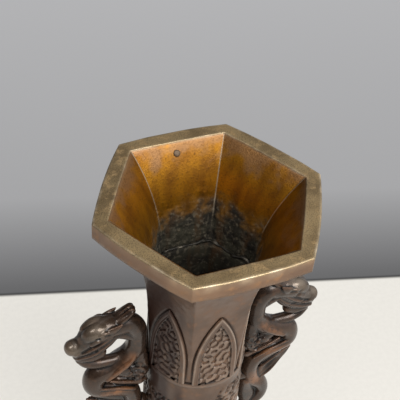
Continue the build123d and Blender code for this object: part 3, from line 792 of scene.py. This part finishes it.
bodyRoutes = [
    # neck, chest, coil and tail in one run
    [(15.2, 48.0, 0, 6.6, 6.6), (8.4, 47.6, 0, 6.6, 6.4), (3.2, 41.0, 0, 6.4, 6.2), (2.4, 32.5, 0, 6.0, 6.0),
     (3.2, 23.8, 0, 6.2, 6.2), (8.6, 15.8, 0, 6.4, 6.7), (16.4, 10.6, 0, 6.8, 6.9), (24.0, 7.6, 0, 6.9, 6.9),
     (28.4, 2.6, 0, 6.9, 6.9), (28.2, -4.4, 0, 6.8, 6.9), (22.2, -8.2, 0, 6.6, 6.9),
     (14.6, -11.0, 0, 6.5, 6.8), (7.8, -15.8, 0, 6.4, 6.6), (4.6, -23.6, 0, 6.2, 6.4),
     (4.8, -33.0, 0, 6.0, 6.2), (8.0, -41.2, 0, 5.8, 6.0), (13.6, -47.6, 0, 5.5, 5.7),
     (16.6, -55.0, 0, 5.1, 5.3), (15.6, -62.2, 0, 5.0, 5.2), (11.2, -67.6, 0, 4.6, 4.8),
     (5.8, -70.4, 0, 3.8, 4.0), (1.8, -70.8, 0, 2.4, 2.6)],
    # haunch inside the tail's curl
    [(2.6, -40.0, 0, 5.0, 5.4), (4.0, -50.0, 0, 6.0, 4.4), (6.4, -60.0, 0, 6.4, 3.9),
     (6.0, -66.0, 0, 4.6, 3.4)],
    # foreleg, the bracket behind it, its foot at the wall, and the two tangs
    [(15.2, 9.6, 0, 5.8, 6.4), (9.2, 5.6, 0, 6.2, 6.7), (3.7, 3.0, 0, 6.2, 6.4)],
    [(0.4, 19.0, 0, 4.4, 5.0), (0.2, 11.0, 0, 5.6, 6.2), (0.8, 2.6, 0, 6.0, 6.4), (2.6, -3.0, 0, 5.0, 6.0)],
    [(14.0, -3.4, 0, 4.0, 4.6), (6.0, -6.0, 0, 4.6, 4.8), (0.4, -9.0, 0, 4.6, 4.4)],
    [(-1.2, 0, 0, 5.2, 5.2), (4.5, 0, 0, 5.4, 5.4)],
    [(-1.6, -33.0, 0, 4.4, 4.4), (6.3, -33.0, 0, 4.8, 4.8)],
    # fin under the coil and the web that carries it
    [(6.0, -25.0, 0, 5.0, 2.6), (14.0, -20.5, 0, 6.0, 2.6), (21.0, -16.5, 0, 5.4, 2.4),
     (27.5, -13.6, 0, 3.4, 2.0)],
    [(9.0, -40.0, 0, 4.4, 3.6), (15.0, -33.6, 0, 6.2, 3.4), (22.0, -27.4, 0, 5.6, 3.0),
     (28.6, -21.8, 0, 3.2, 2.4), (33.2, -17.6, 0, 0.9, 1.0)],
]

pairedBodyRoutes = [
    # raised edges along the chest and the coil
    [(3.2, 25.6, 5.2, 0.9, 0.9), (7.6, 17.4, 6.2, 1.7, 1.2), (15.0, 11.4, 6.7, 2.2, 1.2),
     (22.0, 5.9, 6.6, 1.5, 1.0)],
    [(26.5, -2.0, 6.3, 0.7, 0.8), (20.0, -4.6, 6.2, 1.0, 1.0), (12.0, -7.4, 6.1, 1.1, 1.1),
     (4.0, -12.6, 5.2, 0.9, 0.9)],
    # thin bar under the bracket
    [(20.0, 2.6, 5.8, 0.8, 0.8), (12.0, -0.6, 6.4, 1.1, 1.0), (4.4, -3.6, 6.2, 1.2, 1.0),
     (-2.5, -5.6, 4.8, 1.0, 0.9)],
    # edges of the fin
    [(13.0, -28.6, 2.2, 1.2, 1.2), (22.0, -22.6, 2.0, 1.1, 1.1), (31.5, -17.4, 0.9, 0.7, 0.7)],
    [(12.0, -41.0, 2.4, 1.3, 1.3), (20.6, -34.2, 2.2, 1.3, 1.3), (31.5, -19.8, 0.9, 0.7, 0.7)],
]

headRoutes = [
    # skull and snout, nose, muzzle, jaw, throat, chin and beard
    [(12.5, 47.4, 0, 6.4, 6.4), (19.0, 48.0, 0, 7.0, 7.0), (26.0, 46.6, 0, 7.4, 7.0),
     (31.0, 43.4, 0, 6.6, 6.0), (35.2, 39.6, 0, 5.0, 5.2), (39.5, 37.2, 0, 4.2, 4.6)],
    [(39.8, 37.6, 0, 4.7, 4.9), (41.0, 37.0, 0, 4.8, 5.0)],
    [(17.5, 44.0, 0, 4.4, 5.2), (24.0, 39.4, 0, 4.8, 5.2), (31.0, 35.4, 0, 4.6, 4.9),
     (38.6, 33.0, 0, 3.6, 4.1)],
    [(16.0, 41.0, 0, 3.2, 4.3), (21.5, 34.8, 0, 3.6, 4.4), (29.0, 30.6, 0, 3.8, 4.4),
     (38.4, 28.8, 0, 2.8, 3.5)],
    [(16.5, 41.6, 0, 3.2, 4.4), (11.5, 40.2, 0, 4.0, 4.8), (6.5, 37.2, 0, 4.2, 5.0)],
    [(24.6, 26.8, 0, 3.8, 3.5), (30.0, 25.4, 0, 3.9, 3.6), (36.6, 26.4, 0, 2.8, 3.2)],
    [(37.4, 24.4, 0, 2.2, 2.8), (33.4, 20.2, 0, 3.2, 3.6), (27.5, 17.4, 0, 3.5, 3.8),
     (20.9, 16.6, 0, 3.5, 3.8), (13.4, 16.8, 0, 3.3, 3.7), (8.5, 21.0, 0, 3.0, 3.5)],
    # tuft swept back from between the ears
    [(16.5, 51.2, 0, 2.6, 4.8), (11.2, 54.6, 0, 3.0, 4.9), (6.6, 58.4, 0, 2.8, 4.3)],
]

pairedHeadRoutes = [
    # brow, eyelid, eyeball, cheek and nostril
    [(20.0, 50.2, 1.8, 3.6, 4.0), (26.2, 49.4, 2.2, 5.2, 5.0), (31.0, 47.2, 2.0, 4.8, 4.5),
     (33.8, 44.2, 1.8, 3.2, 3.2)],
    [(18.5, 49.4, 6.3, 0.8, 0.9), (23.8, 51.0, 6.8, 1.1, 1.2), (29.4, 48.4, 6.1, 0.9, 1.0)],
    [(24.4, 48.3, 6.2, 1.5, 1.5), (25.0, 48.1, 6.2, 1.5, 1.5)],
    [(27.6, 45.2, 5.6, 2.3, 2.1), (31.0, 43.0, 5.0, 2.2, 2.0)],
    [(38.8, 36.2, 3.3, 2.3, 2.2), (40.0, 35.6, 3.2, 2.2, 2.1)],
    # ridges along the upper lip and the jaw
    [(39.6, 33.4, 3.2, 1.2, 1.2), (34.0, 35.4, 4.4, 1.3, 1.2), (26.5, 39.6, 5.2, 1.3, 1.2),
     (19.0, 44.6, 5.5, 1.0, 1.0)],
    [(38.6, 29.4, 3.0, 1.0, 1.0), (30.0, 31.0, 4.2, 1.2, 1.0), (22.5, 36.0, 4.3, 1.1, 1.0),
     (16.0, 41.6, 4.2, 0.9, 0.9)],
    # ear
    [(23.5, 48.4, 5.4, 2.6, 1.6), (19.0, 50.4, 6.1, 2.8, 1.5), (16.0, 52.4, 6.4, 1.9, 1.2),
     (13.2, 54.6, 6.4, 0.5, 0.6)],
]

# Spots on a dragon, each as (outwards, sideways, up) with a reach per axis; a pit has its depth first
pits = [
    (0.9, (21.4, 7.0, 48.2), (1.8, 2.5, 1.2)),  # behind the eye
    (0.8, (27.6, 6.4, 47.4), (1.4, 2.5, 1.0)),  # before the eye
    (0.8, (41.6, 3.0, 35.4), (0.9, 1.0, 0.9)),  # nostril
    (0.7, (30.0, 5.0, 33.4), (7.0, 3.0, 0.7)),  # mouth
]
bracketSpot = ((2.5, 5.5, 5.5), (6.0, 4.0, 6.5))
tuftSpot = ((9.0, 0.0, 59.0), (6.0, 6.0, 4.0))
finSpot = ((20.0, 3.4, -29.0), (8.0, 2.4, 8.0))
# painted orange sheen on the coil and on the lower body
paintedSheenSpots = [((15.0, 5.0, -8.5), (12.0, 5.0, 3.5)), ((8.0, 6.0, -36.0), (6.0, 4.0, 8.0))]
# painted pale highlights on the brow and the nose
paintedHighlightSpots = [((27.5, 4.0, 51.0), (6.0, 6.0, 5.0)), ((42.0, 2.0, 38.5), (5.0, 5.0, 4.0))]


def smoothRoute(knots):
    # Catmull-Rom curve through the knots, in place and size together
    knots = np.array(knots, float)
    padded = np.concatenate([2 * knots[:1] - knots[1:2], knots, 2 * knots[-1:] - knots[-2:-1]])
    t = np.linspace(0, 1, dragon["perSpan"], endpoint=False)[:, None]
    spans = [
        b + 0.5 * t * (c - a + t * (2 * a - 5 * b + 4 * c - d + t * (3 * (b - c) + d - a)))
        for a, b, c, d in zip(padded, padded[1:], padded[2:], padded[3:])
    ]
    return np.concatenate(spans + [knots[-1:]])


def tubeSurface(knots):
    # ellipses square to the route, with a half ball at each end
    path = smoothRoute(knots)
    centre = path[:, [0, 2, 1]]
    along = np.gradient(centre, axis=0)
    along /= np.linalg.norm(along, axis=1)[:, None]
    bend = np.radians(np.linspace(86, 0, dragon["capRows"], endpoint=False))
    reach, shrink = np.sin(bend), np.cos(bend)
    tall, wide = path[:, 3], path[:, 4]
    start = centre[0] - along[0] * (tall[0] * reach)[:, None]
    end = centre[-1] + along[-1] * (tall[-1] * reach[::-1])[:, None]
    centre = np.concatenate([start, centre, end])
    along = np.concatenate([np.repeat(along[:1], len(bend), 0), along, np.repeat(along[-1:], len(bend), 0)])
    tall = np.concatenate([tall[0] * shrink, tall, tall[-1] * shrink[::-1]])
    wide = np.concatenate([wide[0] * shrink, wide, wide[-1] * shrink[::-1]])
    across = np.array([0.0, 1.0, 0.0]) - along * along[:, 1:2]
    across /= np.linalg.norm(across, axis=1)[:, None]
    upright = np.cross(along, across)
    angle = turnSteps(dragon["sides"])[None, :, None]
    sideways, upwards = (wide[:, None] * across)[:, None], (tall[:, None] * upright)[:, None]
    return ringSurface(centre[:, None] + sideways * np.cos(angle) + upwards * np.sin(angle))


def fused(name, surfaces, voxel):
    # one skin round overlapping closed surfaces, as points, quads and edges
    blank = makePiece(name, surfaces, [])
    remesh = blank.modifiers.new("remesh", "REMESH")
    remesh.mode = "VOXEL"
    remesh.voxel_size = voxel * millimetre
    smooth = blank.modifiers.new("smooth", "SMOOTH")
    smooth.factor = 0.5
    smooth.iterations = 3
    bpy.context.view_layer.update()
    skin = blank.evaluated_get(bpy.context.evaluated_depsgraph_get()).to_mesh()
    points = np.zeros(3 * len(skin.vertices))
    skin.vertices.foreach_get("co", points)
    quads = np.zeros(len(skin.loops), np.int32)
    skin.loops.foreach_get("vertex_index", quads)
    edges = np.zeros(2 * len(skin.edges), np.int32)
    skin.edges.foreach_get("vertices", edges)
    mesh = blank.data
    bpy.data.objects.remove(blank)
    bpy.data.meshes.remove(mesh)
    return points.reshape(-1, 3) / millimetre, quads.reshape(-1, 4), edges.reshape(-1, 2)


def normalsOf(points, quads):
    corner = points[quads]
    face = np.cross(corner[:, 2] - corner[:, 0], corner[:, 3] - corner[:, 1])
    spot = quads.ravel()
    total = [np.bincount(spot, np.repeat(face[:, k], 4), len(points)) for k in range(3)]
    total = np.stack(total, axis=-1)
    return total / np.linalg.norm(total, axis=1)[:, None]


def spread(values, edges, times):
    # each pass gives a point the mean of its neighbours
    ends = np.concatenate([edges[:, 0], edges[:, 1]])
    others = np.concatenate([edges[:, 1], edges[:, 0]])
    count = np.bincount(ends, minlength=len(values))
    for _ in range(times):
        values = np.bincount(ends, values[others], len(values)) / count
    return values


def near(points, spot, reach):
    # 1 at a spot, fading with distance; the reach is per axis
    return np.exp(-(((points - np.array(spot)) / np.array(reach)) ** 2).sum(axis=1))


def oneSide(points):
    # both sides of a dragon brought to one, so that carving and wear are the same on the two
    return np.where([False, True, False], np.abs(points), points)


def carveDragon(points, normals, seed):
    # strokes on the bracket, eye pits, nostrils, mouth, strands of the tuft and the fin's channel
    folded = oneSide(points)
    outwards, sideways, up = folded.T
    strokes = wormRelief(outwards + 0.3 * sideways, up, {**dragon["strokes"], "seed": seed}) - 0.5
    lift = dragon["strokes"]["depth"] * strokes * np.clip(1.8 * near(folded, *bracketSpot), 0, 1)
    for depth, spot, reach in pits:
        lift -= depth * near(folded, spot, reach)
    lift += 0.35 * near(folded, *tuftSpot) * np.cos(fullTurn * sideways / 2.4)
    channel = (outwards - finSpot[0][0]) * 0.67 - (up - finSpot[0][2]) * 0.74
    lift -= 2.2 * near(folded, *finSpot) * bell(channel, 0.0, 2.7)
    return points + normals * lift[:, None]


def dragonMarks(points, quads, edges):
    # grime in hollows, wear on sharp places, a painted orange sheen down the chest and on two spots of the
    # body, and a painted pale highlight on brow and nose
    means = np.stack([spread(points[:, k], edges, 1) for k in range(3)], axis=-1)
    inwards = ((means - points) * normalsOf(points, quads)).sum(axis=1)
    hollow = spread(inwards / dragon["voxel"], edges, 4)
    broad = spread(hollow, edges, 40)
    grimeAndPaintedShade = np.maximum(smoothStep(hollow, 0.005, 0.04), 0.75 * smoothStep(broad, 0.002, 0.016))
    folded = oneSide(points)
    downChest = folded @ dragon["chestWay"] - dragon["chestFrom"]
    offChest = folded @ dragon["chestSide"] - dragon["chestAt"]
    onChest = smoothStep(downChest, -2.0, 4.0) * (1 - smoothStep(downChest, 22.0, 29.0))
    # painted orange sheen: a band down the chest's flank and the listed spots, carried in one mark with the
    # wear on sharp places
    paintedSheen = 0.6 * bell(offChest, 0.0, 2.6) * onChest * smoothStep(folded[:, 1], 2.5, 5.0)
    paintedSheen += sum(near(folded, *spot) for spot in paintedSheenSpots)
    wearAndSheen = np.maximum(smoothStep(-hollow, 0.014, 0.07) * 0.22, 0.95 * np.clip(paintedSheen, 0, 1))
    # painted pale highlight on brow and nose
    paintedHighlight = sum(near(folded, *spot) for spot in paintedHighlightSpots)
    return {"wearAndSheen": wearAndSheen, "paintedLight": 0.7 * np.clip(paintedHighlight, 0, 1), "grimeAndPaintedShade": grimeAndPaintedShade}


def bothSides(routes):
    return [
        [(*knot[:2], side * knot[2], *knot[3:]) for knot in route]
        for route in routes
        for side in (1, -1)
    ]


def tilted(route, build):
    # the head turns about the nape, and its lower part is drawn outwards
    turn = np.exp(1j * math.radians(build["pitch"]))
    nape = complex(*dragon["nape"])
    drawn = [build["jawOut"] * smoothStep(dragon["jawTop"] - knot[1], 0.0, 8.0) for knot in route]
    spots = [(complex(knot[0] + out, knot[1]) - nape) * turn + nape for out, knot in zip(drawn, route)]
    return [(spot.real, spot.imag, *knot[2:]) for spot, knot in zip(spots, route)]


def makeDragon(name, node, build):
    routes = bodyRoutes + bothSides(pairedBodyRoutes)
    routes += [tilted(route, build) for route in headRoutes + bothSides(pairedHeadRoutes)]
    tubes = [tubeSurface(route) for route in routes]
    points, quads, edges = fused(name + "Blank", tubes, dragon["voxel"])
    carved = carveDragon(points, normalsOf(points, quads), build["seed"])
    flat = dragon["root"] + carved[:, 0] + 1j * carved[:, 1]
    flat = flat * np.exp(1j * math.radians(build["turn"]))
    surface = (raised(flat, build["seatZ"] + carved[:, 2]), quads, np.zeros((0, 3), int))
    marks = dragonMarks(carved, quads, edges)
    piece = makePiece(name, [surface], [metals["dragonBronze"]], None, marks)
    return place(piece, "handle_bronze", node)


makeDragon("leftDragon", "left_dragon_handle", dragon["left"])
makeDragon("rightDragon", "right_dragon_handle", dragon["right"])
print("dragons made")


# Solder round the neck's joint, an uneven bead, and the plug in the mouth's wall, a low dome
seam = {
    "height": 0.4, "radius": 0.9, "uneven": 0.5, "climb": 2.2, "stray": 0.9, "inside": 1.2, "sides": 14,
    "arcSteps": 12, "flatSteps": 40,
}
plug = {"drop": 5.0, "offset": -2.0, "radius": 2.0, "dome": 0.45, "depth": 2.2, "rings": 8, "sides": 36}


def makeSeam():
    # a round section carried along the wall's hexagon; its radius, height and reach inwards vary
    columns = hexColumns(seam["arcSteps"], seam["flatSteps"])
    level = np.array([seamZ + seam["height"]])
    corners, rounding = liningSize(level)
    line = hexRings(level, corners - seam["inside"], rounding, columns)[0]
    radius = seam["radius"] * (1 + seam["uneven"] * waveNoise(line, 5.0, 51))
    height = seam["climb"] * np.maximum(waveNoise(line, 17.0, 52), 0.0) + 0.3 * waveNoise(line, 4.0, 54)
    inwards = seam["stray"] * np.maximum(waveNoise(line, 11.0, 56), 0.0)
    angle = turnSteps(seam["sides"])[:, None]
    flat = line[:, 0] + 1j * line[:, 1] + columns[1] * (radius * np.cos(angle) - inwards)
    rings = raised(flat, line[:, 2] + height + radius * np.sin(angle))
    rings[..., 2] = np.maximum(rings[..., 2], seamZ + 0.02)
    bare = smoothStep(waveNoise(line, 16.0, 53) + 0.4 * waveNoise(line, 6.0, 55), -0.1, 0.9)
    # painted glints on the top of the bead along bare stretches, painted shade on its underside, and grime
    # where it is not bare
    marks = {
        "wearAndSheen": 0.35 * bare * smoothStep(np.sin(angle), 0.2, 1.0),
        "grimeAndPaintedShade": np.maximum(1 - bare, smoothStep(-np.sin(angle), 0.0, 0.8)),
    }
    surface = ringSurface(rings, closedRows=True)
    piece = makePiece("neckSeam", [surface], [metals["solderGrey"]], None, marks)
    return place(piece, "solder", "neck_solder_seam")


def wallAt(z):
    # from the axis to the middle of an inner wall
    return flatsOf(*liningSize(z)) / 2


def makePlug():
    # rings round the plug's middle, rising to a dome towards the mouth's axis
    z = rimZ - plug["drop"]
    lean = (wallAt(z + 1) - wallAt(z - 1)) / 2
    outward = np.array([0.0, -1.0, lean]) / math.hypot(1.0, lean)
    upright = np.array([0.0, lean, 1.0]) / math.hypot(1.0, lean)
    onDome = np.linspace(1.0, 0.05, plug["rings"])
    share = np.concatenate([[1.0], onDome])
    rise = np.concatenate([[-plug["depth"]], plug["dome"] * (1 - onDome**4)])
    angle = turnSteps(plug["sides"])[None, :, None]
    disc = plug["radius"] * (np.cos(angle) * np.array([1.0, 0.0, 0.0]) + np.sin(angle) * upright)
    centre = np.array([plug["offset"], wallAt(z), z])
    rings = centre + share[:, None, None] * disc + rise[:, None, None] * outward
    edge = np.repeat(smoothStep(share, 0.8, 1.0)[:, None], plug["sides"], axis=1)
    marks = {"wearAndSheen": np.append(0.4 * (1 - edge), [0.0, 0.4]), "grimeAndPaintedShade": np.append(edge * 0.8, [1.0, 0.0])}
    piece = makePiece("wallPlug", [ringSurface(rings)], [metals["plugGrey"]], None, marks)
    return place(piece, "plug_metal", "wall_plug")


makeSeam()
makePlug()
print("solder and plug made")


# Nodes that keep their CAD shape
rivets = [f"{side}_{level}_rivet" for side in ("left", "right") for level in ("upper", "lower")]
for metal, nodes in (
    ("solderGrey", ["floor_solder_seam", "foot_solder_seam"]),
    ("neckBronze", ["floor_plate", *rivets]),
):
    for node in nodes:
        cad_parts[node].data.materials.clear()
        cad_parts[node].data.materials.append(metals[metal])


# Floor, lamps and camera
stage = {
    "floorReach": 4.0, "floorSides": 64, "edgeWay": (0.2527, 0.9675, 0.0), "edgeAt": 0.192,
    "edgeBlur": 0.002, "pale": (0.8, 0.775, 0.72), "weave": 260.0, "bounce": 0.32, "shownGlow": 0.74,
    "paintedShadeGreys": ((0.0, 0.13), (0.01, 0.14), (0.126, 0.36), (0.5, 0.44)),
    "skyFrom": (0.6, -0.3, 0.75), "skyLow": (0.035, 0.035, 0.04), "skyHigh": (1.08, 1.1, 1.13),
    "keyFrom": (0.2, -0.6, 0.75), "keyDistance": 1.3, "keySize": 0.9, "keyPower": 14.0,
    "sideFrom": (-0.6, -0.25, 0.7), "sideDistance": 1.1, "sideSize": 0.35, "sidePower": 3.0,
    "aim": (0.0, 0.0, 0.22), "lampColour": (1.0, 0.97, 0.93),
}


def floorMaterial():
    # pale cloth up to a straight edge behind the vessel, and beyond it a grey that lightens with distance
    # from a painted shade that is darkest just past the edge
    material, tree, shader = newMaterial("floorCloth")
    coordinates = coordinatesFrom(tree)
    past = mathFrom(tree, "SUBTRACT", alongFrom(tree, coordinates, stage["edgeWay"]), stage["edgeAt"])
    ramp = feed(tree, tree.nodes.new("ShaderNodeValToRGB"), {"Fac": past})
    ramp.color_ramp.elements.remove(ramp.color_ramp.elements[1])
    # painted shade: the grey ramp is darkest just past the cloth's edge
    for spot, grey in stage["paintedShadeGreys"]:
        ramp.color_ramp.elements.new(spot).color = (grey, grey, 1.02 * grey, 1.0)
    weave = rangeFrom(tree, noiseFrom(tree, coordinates, stage["weave"]), 0.3, 0.7)
    cloth = mixFrom(tree, weave, stage["pale"], tuple(0.97 * channel for channel in stage["pale"]))
    side = rangeFrom(tree, past, -stage["edgeBlur"], stage["edgeBlur"])
    shown = mixFrom(tree, side, cloth, ramp.outputs["Color"])
    dimmed = tree.nodes.new("ShaderNodeHueSaturation")
    feed(tree, dimmed, {"Value": stage["bounce"], "Color": shown})
    seen = tree.nodes.new("ShaderNodeLightPath").outputs
    direct = mathFrom(tree, "MAXIMUM", seen["Is Camera Ray"], seen["Is Glossy Ray"])
    feed(tree, shader, {
        "Base Color": dimmed.outputs["Color"], "Emission Color": shown,
        "Emission Strength": mathFrom(tree, "MULTIPLY", direct, stage["shownGlow"]),
        "Roughness": 0.9, "Specular IOR Level": 0.1,
    })
    return material


def makeFloor():
    # a flat round sheet
    mesh = bpy.data.meshes.new("floor")
    places = raised(np.exp(1j * turnSteps(stage["floorSides"])) * stage["floorReach"], 0.0)
    mesh.from_pydata(places.tolist(), [], [list(range(stage["floorSides"]))])
    mesh.materials.append(floorMaterial())
    floor = bpy.data.objects.new("floor", mesh)
    bpy.context.scene.collection.objects.link(floor)


def makeSky():
    # soft light from above and one side, fading to a dim horizon
    world = bpy.data.worlds.new("studio")
    world.use_nodes = True
    tree = world.node_tree
    towards = alongFrom(tree, coordinatesFrom(tree, "Generated"), Vector(stage["skyFrom"]).normalized())
    sky = tintFrom(tree, stage["skyLow"], towards, (0.1, 1.0), stage["skyHigh"])
    feed(tree, tree.nodes["Background"], {"Color": sky})
    bpy.context.scene.world = world


def makeLamp(name):
    lamp = bpy.data.lights.new(name + "Lamp", "AREA")
    lamp.shape = "DISK"
    lamp.size = stage[name + "Size"]
    lamp.energy = stage[name + "Power"]
    lamp.color = stage["lampColour"]
    holder = bpy.data.objects.new(name + "Lamp", lamp)
    out = Vector(stage[name + "From"]).normalized()
    holder.location = Vector(stage["aim"]) + out * stage[name + "Distance"]
    holder.rotation_euler = out.to_track_quat("Z", "Y").to_euler()
    bpy.context.scene.collection.objects.link(holder)


makeFloor()
for lamp in ("key", "side"):
    makeLamp(lamp)
makeSky()

view = {
    "place": (-0.15047, -0.30089, 0.59712), "lookAt": (-0.00638, 0.0, 0.29019), "rollDegrees": 5.545,
    "lens": 78.19, "sensor": 36.0,
}


def makeCamera():
    camera = bpy.data.cameras.new("camera")
    camera.lens = view["lens"]
    camera.sensor_width = view["sensor"]
    holder = bpy.data.objects.new("camera", camera)
    spot = Vector(view["place"])
    level = (Vector(view["lookAt"]) - spot).to_track_quat("-Z", "Y").to_matrix().to_4x4()
    roll = Matrix.Rotation(math.radians(view["rollDegrees"]), 4, "Z")
    holder.matrix_world = Matrix.Translation(spot) @ level @ roll
    bpy.context.scene.collection.objects.link(holder)
    bpy.context.scene.camera = holder


makeCamera()
bpy.context.scene.view_settings.view_transform = "Standard"
print("stage, lamps and camera made")
